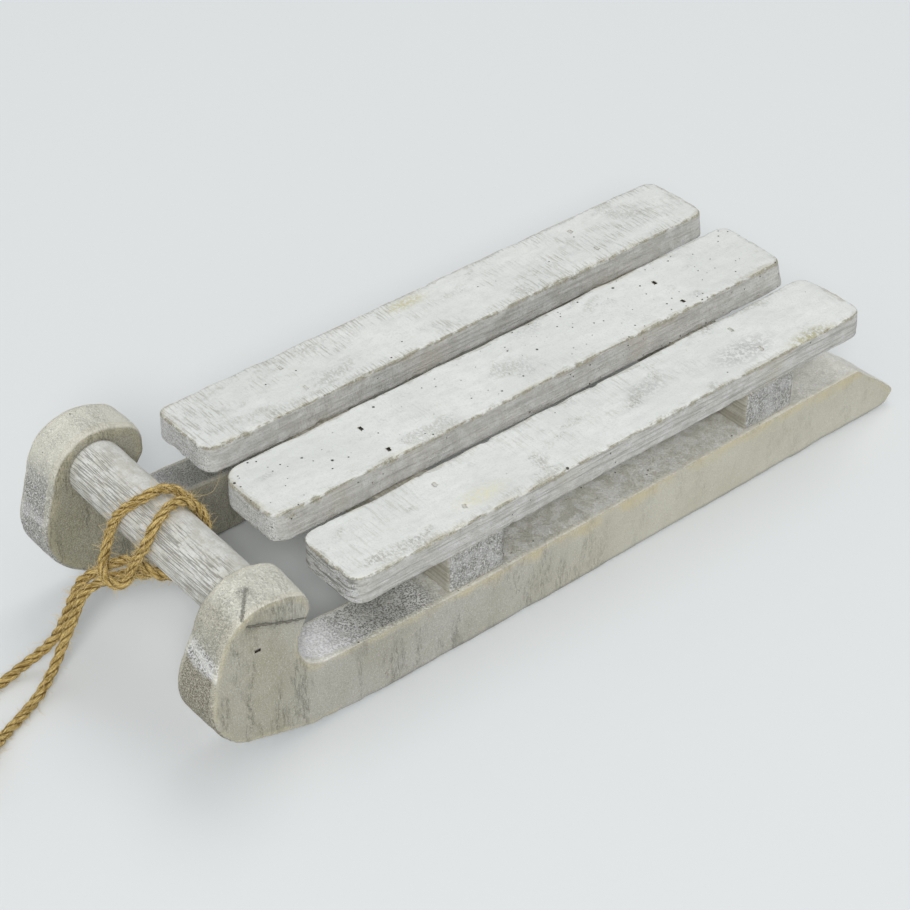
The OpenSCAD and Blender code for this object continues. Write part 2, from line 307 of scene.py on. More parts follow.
def slat_material(name, seed, saw, pores, ghost, groove, side_unshaded, stains=()):
    """White paint over sawn wood. saw is the strength of the marks across the board, pores the share of
    open pores, ghost how much of the paint is rubbed thin, groove the depth of lines along its sides, and
    the next number how much of its sides and ends is spared a painted shade; stains are
    (middle, size, colour, weight)."""
    m = Paint(name)
    m.broad = m.noise(0.05, 3, seed=seed)
    m.patch = m.noise(0.28, 4, 0.6, seed=seed + 12)
    m.grit = m.noise(2.3, 3, 0.75, seed=seed + 1)
    m.brush = m.noise((0.9, 0.22, 0.5), 4, 0.7, warp=0.6, seed=seed + 2)
    m.grain = m.noise((0.9, 0.05, 1.3), 4, 0.65, seed=seed + 10)
    cut = m.noise((0.16, 1.9, 0.4), 4, 0.7, seed=seed + 3)
    where = m.plus(m.noise((0.09, 0.05, 0.05), 2, seed=seed + 4), m.times(m.edge, 0.16))
    m.lines = m.times(m.ramp(cut, 0.5, 0.62), m.ramp(where, 0.46, 0.66))
    m.thin = m.times(m.ramp(m.noise((0.12, 0.06, 0.1), 3, 0.6, seed=seed + 6), 0.54, 0.68),
                     m.ramp(m.noise((1.1, 1.8, 1.0), 3, 0.75, seed=seed + 7), 0.42, 0.6))
    edge_noise = m.noise((0.5, 0.3, 0.5), 4, 0.7, seed=seed + 8)
    edge_region = m.noise(0.07, 2, seed=seed + 14)
    wear = m.plus(m.times(m.edge, 0.5), m.times(edge_noise, 0.7), m.times(edge_region, 0.5))
    m.worn = m.ramp(wear, 1.06, 1.16)
    holes = m.math("MAXIMUM", m.dots(0.4, 0.2, pores, seed=seed),
                   m.dots(1.1, 0.36, pores * 0.6, seed=seed + 5))

    up = m.ramp(m.nz, 0.35, 0.75)
    arris = m.times(m.ramp(m.nz, 0.2, 0.45), m.ramp(m.nz, 0.97, 0.82), m.ramp(edge_noise, 0.36, 0.56))
    bare = m.mix(m.ramp(m.grit, 0.4, 0.6), (0.44, 0.42, 0.31), (0.24, 0.22, 0.16))
    side = slat_side(m, seed, pores, groove, side_unshaded)
    colour = m.over(m.mix(up, side, slat_top(m, seed, saw, ghost, stains)),
                    (m.times(arris, 0.85), bare), (holes, DARK))
    low = m.times(m.math("SUBTRACT", 1.0, up), m.math("SUBTRACT", m.grain, 0.5), groove)
    height = m.plus(m.times(holes, -0.45), m.times(m.lines, -0.08 * saw), m.times(m.brush, 0.1),
                    m.times(m.grit, 0.12), m.times(m.worn, -0.1), m.times(m.thin, -0.06),
                    m.times(m.patch, 0.25), low)
    return m.finish(colour, height)


CRACK = [(HALF_W, y, z) for y, z in ((-97.6, 39.9), (-92, 37.4), (-87, 35.2), (-81.8, 33.4))]
MARK = ((33.6, -92.8, 43.1), (36.6, -95.4, 42.8), (40, -98.4, 41.8))
RIDGE = ((25, -103, 32.2), (41, -106, 29.2))


def head_crack(m, face, seed):
    """The near head's outer face with its crack, the grime round that and the saw lines over it, and
    how deep the crack is."""
    strip = m.times(m.ramp(m.z, 34.4, 36), m.ramp(m.y, -101, -97))
    upright = m.ramp(m.noise((0.5, 2.6, 0.25), 3, 0.7, seed=seed + 9), 0.5, 0.6)
    wander = m.times(m.math("SUBTRACT", m.noise(0.6, 3, seed=seed + 10), 0.5), 1.1)
    away = m.plus(m.polyline(CRACK), wander)
    crack = m.ramp(away, 0.4, 0.12)
    smudge = m.times(m.blob((HALF_W, -95.4, 38.4), (3, 3.6, 1.7)), m.ramp(m.fine, 0.4, 0.56))
    face = m.over(face,
                  (m.times(strip, upright, 0.6), (0.24, 0.23, 0.20)),
                  (m.times(m.ramp(away, 1.6, 0.3), 0.35), (0.20, 0.19, 0.16)),
                  (m.times(crack, 0.6), (0.12, 0.11, 0.09)),
                  (m.times(smudge, 0.6), (0.16, 0.15, 0.12)))
    return face, crack


def runner_face(m, seed, near):
    """A runner's two flat faces, and the depth of the near one's crack."""
    aft = m.ramp(m.y, -50, 30)
    nose = m.ramp(m.y, -70, -100)
    dull = m.mix(nose, (0.38, 0.365, 0.31), (0.36, 0.345, 0.255))
    pale = m.mix(nose, (0.45, 0.44, 0.40), (0.42, 0.405, 0.335))
    face = m.over(m.mix(m.ramp(m.noise(0.06, 3, seed=seed + 1), 0.35, 0.65), dull, pale),
                  (m.times(m.ramp(m.patch, 0.42, 0.66), 0.5), (0.42, 0.40, 0.34)),
                  (m.times(m.ramp(m.grit, 0.5, 0.64), 0.5), (0.34, 0.32, 0.26)),
                  (m.times(m.ramp(m.fine, 0.54, 0.66), 0.6), (0.24, 0.22, 0.16)),
                  (m.times(m.ramp(m.fine, 0.45, 0.33), 0.5), (0.80, 0.79, 0.74)),
                  (m.times(aft, 0.4), (0.70, 0.675, 0.54)),
                  (m.times(m.marks, m.ramp(m.fine, 0.42, 0.54), 0.42), (0.17, 0.16, 0.13)))
    crack = 0.0
    if near:
        face, crack = head_crack(m, face, seed)
    glow = m.times(m.ramp(m.plus(m.z, m.times(m.noise(0.12, 2, seed=seed + 11), 6)), 15, 19),
                   m.ramp(m.y, -55, -35), m.ramp(m.noise(0.07, 2, seed=seed + 12), 0.4, 0.55))
    band = m.plus(m.times(m.edge, m.ramp(m.z, 0.5, 2.0), 0.7),
                  m.times(m.noise(0.18, 3, seed=seed + 4), 1.2))
    rubbed = m.mix(m.ramp(m.grit, 0.4, 0.6), (0.60, 0.56, 0.42), (0.42, 0.38, 0.26))
    # The dark strip along the sole, darkest at the ground, is a painted contact shadow.
    face = m.over(face,
                  (m.times(glow, 0.6), (0.60, 0.51, 0.30)),
                  (m.times(m.ramp(m.z, 1.3, 0.3), 0.45), (0.17, 0.16, 0.14)),
                  (m.times(m.ramp(band, 1.0, 1.4), 0.6), rubbed))
    if not near:
        # The far runner's inner face, turned into the sled, gets dark speckle and painted shade.
        speckle_and_shade = m.mix(m.ramp(m.fine, 0.45, 0.58), (0.34, 0.32, 0.22), (0.13, 0.12, 0.08))
        face = m.mix(m.times(m.ramp(m.nx, 0.5, 0.8), 0.5), face, speckle_and_shade)
    return face, crack


def near_front(m):
    """The near head's front: the share and colour of the brown foot, the white ridge over it and the
    beige above that; and the share of the pencil-like mark on its top."""
    front = m.ramp(m.ny, -0.3, -0.7)
    brown = m.mix(m.ramp(m.fine, 0.40, 0.56), (0.58, 0.55, 0.44), (0.15, 0.13, 0.08))
    foot = m.ramp(m.plus(m.z, m.times(m.patch, 4)), 31.5, 29.5)
    ridge = m.ramp(m.plus(m.segment(*RIDGE), m.times(m.patch, 1.5)), 2.4, 1.2)
    beige = m.times(m.ramp(m.z, 31.5, 34), m.ramp(m.z, 42.5, 40))
    sand = m.mix(m.ramp(m.fine, 0.44, 0.58), (0.62, 0.60, 0.50), (0.33, 0.31, 0.24))
    line = m.ramp(m.plus(m.polyline(MARK), m.times(m.math("SUBTRACT", m.grit, 0.5), 2.6)), 0.5, 0.1)
    smudge = m.times(m.blob((34.2, -93.6, 43), 2.6), m.ramp(m.fine, 0.5, 0.6))
    mark = m.times(m.math("MAXIMUM", m.times(line, m.ramp(m.fine, 0.34, 0.52)), m.times(smudge, 0.8)),
                   m.ramp(m.nz, 0.1, 0.3))
    below = ((m.times(front, foot, 0.9), brown), (m.times(front, ridge, 0.8), (0.84, 0.84, 0.80)))
    return below, (m.times(front, beige, 0.75), sand), mark


def runner_rim(m, seed, near):
    """A runner's sawn edge all round, how speckled it is, and the mark on the near head."""
    salt = m.noise(2.2 if near else 2.7, 2, 0.8, seed=seed + 5)
    salt = m.ramp(salt, 0.47 if near else 0.42, 0.57)
    paint = (0.80, 0.805, 0.79) if near else (0.68, 0.68, 0.655)
    deck = m.times(m.ramp(m.y, -50, -42), m.ramp(m.nz, 0.5, 0.8), m.ramp(m.z, 20, 18))
    smooth = m.over(m.mix(m.ramp(m.patch, 0.4, 0.62), (0.84, 0.83, 0.78), (0.64, 0.62, 0.52)),
                    (m.times(m.ramp(m.y, 50, 85), 0.8), (0.97, 0.96, 0.89)))
    # Painted light: the throat's upward faces get white laid over them where light falls on them; painted
    # shade darkens the runner's top under the slat.
    throat_light = m.times(m.ramp(m.y, -64, -76), m.ramp(m.z, 30, 26), m.ramp(m.nz, 0.1, 0.4))
    shade = m.times(m.ramp(m.y, -70, -60), m.ramp(m.y, -48, -55), m.ramp(m.z, 21, 18))
    rim = m.over(m.mix(salt, paint, (0.22, 0.215, 0.195)),
                 (m.times(deck, 0.85), smooth),
                 (m.times(throat_light, m.math("SUBTRACT", 1.0, m.times(salt, 0.3))), (1.0, 1.0, 1.0)),
                 (m.times(shade, 0.4), (0.20, 0.195, 0.16)),
                 (m.times(m.ramp(m.patch, 0.5, 0.66), 0.4), (0.66, 0.645, 0.59)))
    if near:
        below, above, mark = near_front(m)
    else:
        crown = m.times(m.ramp(m.nz, 0.5, 0.9), m.ramp(m.z, 40, 44), 0.85)
        below, above, mark = ((crown, (0.93, 0.925, 0.87)),), None, 0.0
    cream = m.times(m.ramp(m.nz, 0.1, 0.6), m.ramp(m.z, 33, 38), 0.85)
    cream_tint = m.mix(m.ramp(m.grit, 0.5, 0.7), (0.85, 0.84, 0.73), (0.60, 0.58, 0.48))
    arris = m.times(m.ramp(m.edge, 0.6, 0.95), m.ramp(m.nz, -0.2, 0.5), 0.55)
    rim = m.over(rim, *below, (cream, cream_tint), (arris, (0.76, 0.73, 0.60)))
    if above:
        rim = m.mix(above[0], rim, above[1])
    return m.mix(m.times(mark, 0.6), rim, (0.15, 0.14, 0.12)), salt, mark


def runner_material(name, seed, near):
    """Grey-white wash over pale wood; near says which runner has the crack and the mark."""
    m = Paint(name)
    flat = m.ramp(m.math("ABSOLUTE", m.nx), 0.6, 0.85)
    m.grit = m.noise(2.2, 4, 0.8, seed=seed)
    m.patch = m.noise(0.3, 4, 0.65, seed=seed + 6)
    m.fine = m.noise(3.2, 3, 0.8, seed=seed + 8)
    streak = m.noise((1.0, 2.4, 0.5), 4, 0.75, seed=seed + 2)
    where = m.ramp(m.noise((0.1, 0.2, 0.05), 3, seed=seed + 3), 0.47, 0.62)
    m.marks = m.times(m.ramp(streak, 0.5, 0.62), where,
                      m.math("SUBTRACT", 1.0, m.times(m.ramp(m.y, -50, 30), 0.65)))
    fleck = m.dots(0.9, 0.3, 0.1, seed=seed)
    face, crack = runner_face(m, seed, near)
    rim, salt, mark = runner_rim(m, seed, near)
    colour = m.over(m.mix(flat, rim, face), (fleck, (0.16, 0.14, 0.11)))
    height = m.plus(m.times(m.grit, 0.16), m.times(m.marks, -0.12), m.times(fleck, -0.3),
                    m.times(m.patch, 0.2), m.times(crack, flat, -0.5), m.times(mark, -0.3),
                    m.times(salt, m.math("SUBTRACT", 1.0, flat), -0.12))
    return m.finish(colour, height)


def bar_material():
    m = Paint("crossbar_paint")
    grit = m.noise(2.2, 4, 0.75, seed=61)
    line = m.noise((0.12, 4.3, 4.3), 1, 0.5, seed=62)
    front = m.ramp(m.plus(m.times(m.ny, -0.8), m.times(m.nz, 0.1), m.noise(0.1, 3, seed=63)), 0.4, 1.0)
    patch = m.noise(0.3, 4, 0.65, seed=64)
    colour = m.mix(m.ramp(patch, 0.35, 0.65), (0.60, 0.59, 0.53), (0.74, 0.74, 0.71))
    colour = m.mix(m.times(m.ramp(grit, 0.48, 0.64), 0.5), colour, (0.48, 0.47, 0.42))
    lines = m.times(m.ramp(line, 0.52, 0.58), m.plus(m.times(front, 0.6), 0.06))
    colour = m.mix(lines, colour, (0.22, 0.21, 0.18))
    height = m.plus(m.times(grit, 0.12), m.times(lines, -0.15), m.times(patch, 0.2))
    return m.finish(colour, height)


def batten_material():
    m = Paint("batten_paint")
    salt = m.ramp(m.noise(2.0, 4, 0.8, seed=71), 0.44, 0.58)
    end = m.ramp(m.math("ABSOLUTE", m.nx), 0.5, 0.8)
    grain = m.noise((0.05, 1.2, 1.3), 4, 0.65, seed=72)
    patch = m.noise(0.3, 4, 0.65, seed=73)
    colour = m.mix(m.ramp(grain, 0.35, 0.65), (0.42, 0.39, 0.30), (0.64, 0.62, 0.54))
    butt = m.mix(salt, (0.60, 0.60, 0.575), (0.22, 0.215, 0.19))
    butt = m.mix(m.times(m.ramp(patch, 0.42, 0.6), 0.6), butt, (0.68, 0.68, 0.66))
    colour = m.mix(end, colour, butt)
    colour = m.mix(m.times(m.ramp(m.edge, 0.6, 1.0), 0.3), colour, (0.62, 0.58, 0.46))
    height = m.plus(m.times(salt, -0.12), m.times(grain, 0.1), m.times(patch, 0.2))
    return m.finish(colour, height)


TWIST = 9.5      # length of one full twist of the cord's plies, in mm
FIBRE_TWIST = TWIST * 1.25


def jute_material():
    """Fibres lie nearly along the cord. The mesh's UV is mm along it, and turns round it."""
    m = Paint("jute_twine", roughness=0.85)
    u, v, _ = m.xyz(m.uv)
    turn = m.math("MULTIPLY", m.plus(v, m.math("DIVIDE", u, FIBRE_TWIST)), 2 * math.pi)
    at = m.join(m.times(m.math("COSINE", turn), CORD_R), m.times(m.math("SINE", turn), CORD_R),
                m.times(u, 0.13))
    fibre = m.noise(3.2, 4, 0.75, at=at, seed=81)
    tone = m.noise(0.12, 2, seed=82)
    colour = m.mix(m.ramp(fibre, 0.38, 0.64), (0.26, 0.155, 0.03), (0.93, 0.71, 0.29))
    colour = m.mix(m.times(m.ramp(tone, 0.4, 0.7), 0.3), colour, (0.66, 0.47, 0.17))
    speck = m.noise(2.4, 3, 0.8, seed=83)
    colour = m.mix(m.times(m.ramp(speck, 0.5, 0.64), 0.6), colour, (0.22, 0.13, 0.035))
    # Painted shade in the crevices between the plies.
    colour = m.mix(m.times(m.ramp(m.edge, 0.4, 0.9), 0.85), colour, (0.085, 0.048, 0.012))
    return m.finish(colour, m.times(fibre, 0.5))


MAT["jute"] = jute_material()
MAT["jute_fibre"] = plain("jute_fibre", (0.80, 0.62, 0.30), 0.8)
MAT["bar"] = bar_material()
MAT["hole"] = plain("slot_dark", (0.045, 0.035, 0.025), 0.9)
MAT["filler"] = plain("slot_paint", (0.62, 0.62, 0.575), 0.9)
MAT["batten"] = batten_material()
MAT["runner_left"] = runner_material("runner_wash_left", 1, True)
MAT["runner_right"] = runner_material("runner_wash_right", 2, False)
MAT["slat_left"] = slat_material("slat_paint_left", 11, 0.35, 0.012, 0.8, 0.9, 0.72,
                                 [((34.3, -28.6, DECK_TOP), (4, 10, 3), (0.80, 0.77, 0.56), 0.7),
                                  ((33, 57, DECK_TOP), (6, 14, 3), (0.46, 0.46, 0.45), 0.7),
                                  ((29, 28, DECK_TOP), (4.5, 9, 3), (0.48, 0.48, 0.46), 0.6),
                                  ((39.5, 74, 34), (4, 11, 6), (0.47, 0.44, 0.25), 0.9)])
MAT["slat_middle"] = slat_material("slat_paint_middle", 12, 0.2, 0.16, 0.45, 0.3, 0.8)
MAT["slat_right"] = slat_material("slat_paint_right", 13, 0.7, 0.01, 0.5, 0.3, 0.8,
                                  [((-37, 7, DECK_TOP), (3.5, 9, 3), (0.62, 0.58, 0.35), 0.8)])

# ---- pull cord ----

BAR = [Vector((HALF_W - LEFT_T, -90.9, 35.3)), Vector((RIGHT_T - HALF_W, -90.9, 37.5))]
WRAP_R = 8.55    # from the bar's middle to the middle of the cord wound on it
LEAD = 2.6       # how far the cord runs on, straight, at each end of the hitch
# Points of the hitch as (place along the bar, angle round it, height over the wound cord).
HITCH = [(-7.4, 215, 6.9), (-5.8, 215, 4.2), (-3.6, 216, 1.8), (-1.4, 217, 1), (0.8, 219, 0.5),
         (3, 223, 0.2), (4.5, 236, 0), (4.9, 262, 0), (4.9, 290, 0), (4.6, 318, 0), (3.7, 345, 0),
         (2.6, 368, 0.1), (1.9, 386, 0.2), (1.5, 402, 0.1), (1.4, 414, 0), (1.6, 431, 0), (2.4, 450, 0),
         (3.4, 468, 0), (4, 486, 0), (4.4, 504, 0), (4, 522, 0), (2.4, 543, 0.3), (1.1, 560, 1.8),
         (1.3, 568, 4.2), (1.2, 570, 6.2), (-0.2, 569, 7.5), (-2.2, 567, 8), (-4.2, 564, 7.4),
         (-6, 563, 5.9), (-7.8, 561, 3.4), (-9, 550, 0.8), (-8.2, 532, 0), (-7.2, 514, 0),
         (-5.9, 496, 0), (-4.7, 480, 0), (-4, 464, 0), (-3.9, 448, 0), (-4, 430, 0), (-3.8, 412, 0),
         (-2.9, 396, 0), (-1.2, 378, 0), (0.4, 356, 0), (1.4, 330, 0), (1.9, 304, 0), (2.1, 276, 0),
         (1.8, 250, 0.3), (0.3, 231, 2.3), (-1.5, 222, 3.9), (-3.6, 217, 6.2), (-5, 215, 9)]
LEFT_LEG = [(-10.9, -107.7, 23.9), (-11.8, -109.5, 20), (-12.6, -111.4, 15.4), (-13.4, -113.6, 10.8),
            (-14.8, -116, 7), (-16.2, -119, 4.2), (-16.8, -123, 2.4), (-16.4, -127.4, 1.5),
            (-16, -132, 1.3), (-17.2, -137.4, 1.5), (-20.2, -143, 1.9), (-24.3, -149.2, 2.3)]
RIGHT_LEG = [(6.3, -149.2, 4.8), (3.4, -144.4, 3.4), (0.6, -140, 1.8), (-2, -135.2, 1.3),
             (-4.2, -130, 1.4), (-6.4, -124.6, 2.2), (-8.2, -120.6, 3.8), (-9.4, -117.4, 6.4),
             (-9.9, -114.6, 10.4), (-9.5, -112.2, 15), (-8.7, -110.6, 19.4), (-7.5, -109.4, 23.2)]
COIL_AT = (-9, -158)
# Stretches of the coil as (angle, radius at mid-cord, height); it runs counter-clockwise.
COIL = [(150, 17.6, 2.25), (190, 15, 2.25), (480, 15, 2.25), (545, 12.5, 2.25), (780, 12.5, 2.25),
        (840, 12.5, 4.75), (1100, 12.5, 4.75), (1140, 15, 4.75), (1440, 15, 4.75), (1470, 17.6, 4.75)]


def ease(t):
    t = min(1, max(0, t))
    return t * t * (3 - 2 * t)


def lerp(a, b, t):
    return a + (b - a) * t


def on_bar(x, angle, rise):
    """The point at x along the bar and angle round it, rise over the cord wound on it."""
    centre = BAR[1].lerp(BAR[0], (x - BAR[1].x) / (BAR[0].x - BAR[1].x))
    r = WRAP_R + rise
    a = math.radians(angle)
    return Vector((x, centre.y + r * math.cos(a), centre.z + r * math.sin(a)))


def coil_points(step=15):
    """The coil's points, step degrees apart, without the first."""
    points = []
    for (a0, r0, z0), (a1, r1, z1) in zip(COIL, COIL[1:]):
        n = max(1, round((a1 - a0) / step))
        for i in range(n):
            t = ease(i / n)
            a, r = math.radians(lerp(a0, a1, i / n)), lerp(r0, r1, t)
            points.append(Vector((COIL_AT[0] + r * math.cos(a), COIL_AT[1] + r * math.sin(a),
                                  lerp(z0, z1, t))))
    return points[1:]


def smooth_path(points, step):
    """The curve through the points, as points a step apart."""
    fine = []
    p = [points[0] * 2 - points[1]] + list(points) + [points[-1] * 2 - points[-2]]
    for i in range(1, len(p) - 2):
        a, b, c, d = p[i - 1:i + 3]
        n = max(4, int((c - b).length / step * 3))
        for k in range(n):
            t = k / n
            fine.append(0.5 * (2 * b + (c - a) * t + (2 * a - 5 * b + 4 * c - d) * t * t
                               + (3 * b - a - 3 * c + d) * t ** 3))
    fine.append(points[-1].copy())
    out, walked, due = [fine[0]], 0.0, step
    for a, b in zip(fine, fine[1:]):
        gap = (b - a).length
        while walked + gap >= due:
            out.append(a.lerp(b, (due - walked) / gap))
            due += step
        walked += gap
    if (out[-1] - fine[-1]).length > step * 0.3:
        out.append(fine[-1])
    return out


def frames(path):
    """Tangent, and two normals that turn as little as they can, at each point of the path."""
    out, last = [], Vector((0.31, 0.52, 0.79))
    for i, p in enumerate(path):
        t = (path[min(i + 1, len(path) - 1)] - path[max(i - 1, 0)]).normalized()
        u = (last - t * last.dot(t)).normalized()
        out.append((t, u, t.cross(u)))
        last = u
    return out


def new_mesh(name, verts, faces, material, smooth=True, uvs=None):
    """A new object from points in mm; uvs has one pair for each point."""
    mesh = bpy.data.meshes.new(name)
    mesh.from_pydata([tuple(v * MM for v in p) for p in verts], [], faces)
    if uvs:
        layer = mesh.uv_layers.new(name="along")
        for loop in mesh.loops:
            layer.data[loop.index].uv = uvs[loop.vertex_index]
    mesh.update()
    if smooth:
        mesh.polygons.foreach_set("use_smooth", [True] * len(mesh.polygons))
    obj = bpy.data.objects.new(name, mesh)
    SCENE.collection.objects.link(obj)
    mesh.materials.append(material)
    return obj


PLY_OUT, PLY_R = 0.6, 0.65      # how far each ply's middle stands off the cord's, and its radius
# The cord's radius between two plies.
LOBE_LOW = PLY_OUT / 2 + math.sqrt(PLY_R ** 2 - 0.75 * PLY_OUT ** 2)
AROUND = 27                     # points round the cord
TWINE_STEP = 0.4                # distance between its rings


def twine(name, path, material):
    """Three plies laid together, swept along the path."""
    verts, uvs, faces, depth = [], [], [], []
    for i, (p, (t, u, v)) in enumerate(zip(path, frames(path))):
        along = i * TWINE_STEP
        turn = 2 * math.pi * along / TWIST
        for k in range(AROUND):
            a = 2 * math.pi * k / AROUND
            off = (a + math.pi / 3) % (2 * math.pi / 3) - math.pi / 3
            r = PLY_OUT * math.cos(off) + math.sqrt(PLY_R ** 2 - (PLY_OUT * math.sin(off)) ** 2)
            b = a + turn
            verts.append(p + u * (r * math.cos(b)) + v * (r * math.sin(b)))
            uvs.append((along, k / AROUND))
            # How deep each point lies in the crevice between plies, kept as "edge" for a painted shade in the
            # crevices.
            depth.append(1 - (r - LOBE_LOW) / (PLY_OUT + PLY_R - LOBE_LOW))
    for i in range(len(path) - 1):
        for k in range(AROUND):
            a, b = i * AROUND + k, i * AROUND + (k + 1) % AROUND
            faces.append((a, b, b + AROUND, a + AROUND))
    last = (len(path) - 1) * AROUND
    faces.append(tuple(range(AROUND - 1, -1, -1)))
    faces.append(tuple(range(last, last + AROUND)))
    obj = new_mesh(name, verts, faces, material, uvs=uvs)
    obj.data.attributes.new("edge", "FLOAT", "POINT").data.foreach_set("value", depth)
    return obj


FIBRE_R = 0.055


def hair(verts, faces, points, radius=FIBRE_R, thinning=0.6, around=3):
    """A fibre or thread through the points, thinning to its end."""
    base = len(verts)
    for i, (p, (t, u, v)) in enumerate(zip(points, frames(points))):
        r = radius * (1 - thinning * i / (len(points) - 1))
        for k in range(around):
            a = 2 * math.pi * k / around
            verts.append(p + (u * math.cos(a) + v * math.sin(a)) * r)
    for i in range(len(points) - 1):
        for k in range(around):
            a, b = base + around * i + k, base + around * i + (k + 1) % around
            faces.append((a, b, b + around, a + around))
    faces += [tuple(range(base + around - 1, base - 1, -1)), tuple(range(len(verts) - around, len(verts)))]


TIE_AT = (210, 330)             # where the ties hold the coil, in degrees
TIE_TURNS, TURN_POINTS, THREAD_R = 4, 20, 0.45
TIE_SPREAD = 5.8                # half a tie's width, in degrees of the coil
TIE_HALF, TIE_Z, TIE_R = 3, 3.5, 13.75      # half its height, and where its middle lies


def windings():
    """Thread wound round the coil at each tie, square with round corners."""
    verts, faces = [], []
    for angle in TIE_AT:
        points = []
        for i in range(TIE_TURNS * TURN_POINTS + 1):
            a = 2 * math.pi * i / TURN_POINTS
            c, s = math.cos(a), math.sin(a)
            k = TIE_HALF * (c ** 6 + s ** 6) ** (-1 / 6)
            share = i / (TIE_TURNS * TURN_POINTS)
            way = math.radians(angle + lerp(-TIE_SPREAD, TIE_SPREAD, share))
            points.append(Vector((COIL_AT[0] + (TIE_R + k * c) * math.cos(way),
                                  COIL_AT[1] + (TIE_R + k * c) * math.sin(way), TIE_Z + k * s)))
        hair(verts, faces, points, THREAD_R, 0, 8)
    return new_mesh("tie_windings", verts, faces, MAT["jute_fibre"])


hitch_route = [on_bar(*p) for p in HITCH]
first_lead = hitch_route[0] + LEAD * (hitch_route[0] - hitch_route[1]).normalized()
last_lead = hitch_route[-1] + LEAD * (hitch_route[-1] - hitch_route[-2]).normalized()
free_route = ([hitch_route[0], first_lead] + [Vector(p) for p in LEFT_LEG] + coil_points()
              + [Vector(p) for p in RIGHT_LEG] + [last_lead, hitch_route[-1]])
hitch_path = smooth_path(hitch_route, TWINE_STEP)
free_path = smooth_path(free_route, TWINE_STEP)
hitch = twine("cord_hitch_twine", hitch_path, MAT["jute"])
free = twine("pull_cord", free_path, MAT["jute"])
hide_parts("cord_hitch")
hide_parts("cord_left_leg", "cord_right_leg", "cord_coil")
ties = windings()
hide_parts("cord_ties")
for piece in (hitch, free, ties):
    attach(piece, "root")


def fuzz(name, path, per_mm, seed, tufts=(), strays=()):
    """Loose fibres standing off the twine along path. tufts are (index, how many, way) for frayed spots;
    strays are fibres with points of their own."""
    rng = random.Random(seed)
    around = frames(path)
    starts = [(rng.randrange(2, len(path) - 2), None) for _ in range(round(len(path) * TWINE_STEP * per_mm))]
    for index, count, way in tufts:
        starts += [(index + rng.randrange(-4, 5), Vector(way).normalized()) for _ in range(count)]
    verts, faces = [], []
    for index, way in starts:
        t, u, v = around[index]
        a = rng.uniform(0, 2 * math.pi)
        out = u * math.cos(a) + v * math.sin(a)
        p = path[index] + out * 0.95
        go = t * rng.choice((-1, 1)) * rng.uniform(0.5, 1.2) + out * rng.uniform(0.1, 0.45)
        if way:
            go = way + Vector([rng.uniform(-0.5, 0.5) for _ in range(3)])
        go.normalize()
        size = rng.uniform(0.9, 2.8) * (1.6 if rng.random() < 0.12 else 1)
        bend = Vector([rng.uniform(-0.45, 0.45) for _ in range(3)])
        points = [p.copy()]
        for _ in range(5):
            go = (go + bend).normalized()
            p = p + go * size / 5
            p.z = max(p.z, 0.12)
            points.append(p.copy())
        hair(verts, faces, points)
    for stray in strays:
        hair(verts, faces, smooth_path([Vector(q) for q in stray], 0.8))
    return new_mesh(name, verts, faces, MAT["jute_fibre"])


hitch_fuzz = fuzz("hitch_fibres", hitch_path, 11, 5,
                  strays=[[(0.5, -84.1, 43), (0.9, -81.8, 42.3), (-0.4, -77.8, 40.6), (-4.6, -73.4, 38.6),
                           (-9.4, -69.4, 36.9), (-11.9, -66.2, 36)]])
free_fuzz = fuzz("pull_cord_fibres", free_path, 6, 6, tufts=[(len(free_path) - 52, 26, (0.7, 0.6, 0.2))])
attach(hitch_fuzz, "root")
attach(free_fuzz, "root")


# ---- wood shapes ----

def closed_resample(outline, step, passes):
    """The closed outline as points about a step apart, its corners softened."""
    points = [np.array(p, float) for p in outline]
    out = []
    for a, b in zip(points, points[1:] + points[:1]):
        n = max(1, round(np.linalg.norm(b - a) / step))
        out += [a + (b - a) * i / n for i in range(n)]
    ring = np.array(out)
    for _ in range(passes):
        ring = 0.5 * ring + 0.25 * (np.roll(ring, 1, 0) + np.roll(ring, -1, 0))
    gaps = np.linalg.norm(np.roll(ring, -1, 0) - ring, axis=1)
    walk = np.concatenate([[0], np.cumsum(gaps)])
    n = max(12, round(walk[-1] / step))
    at = np.arange(n) * walk[-1] / n
    loop = np.vstack([ring, ring[:1]])
    return np.column_stack([np.interp(at, walk, loop[:, i]) for i in range(2)])


def inside(points, ring):
    """Which points lie inside the closed ring."""
    hit = np.zeros(len(points), bool)
    px, py = points[:, 0], points[:, 1]
    for (ax, ay), (bx, by) in zip(ring, np.roll(ring, -1, 0)):
        if ay == by:
            continue
        hit ^= ((ay > py) != (by > py)) & (px < (bx - ax) * (py - ay) / (by - ay) + ax)
    return hit


def ring_distance(points, ring):
    out = np.full(len(points), 1e9)
    for lo in range(0, len(points), 2000):
        part = points[lo:lo + 2000]
        out[lo:lo + 2000] = np.sqrt(((part[:, None] - ring[None]) ** 2).sum(2)).min(1)
    return out


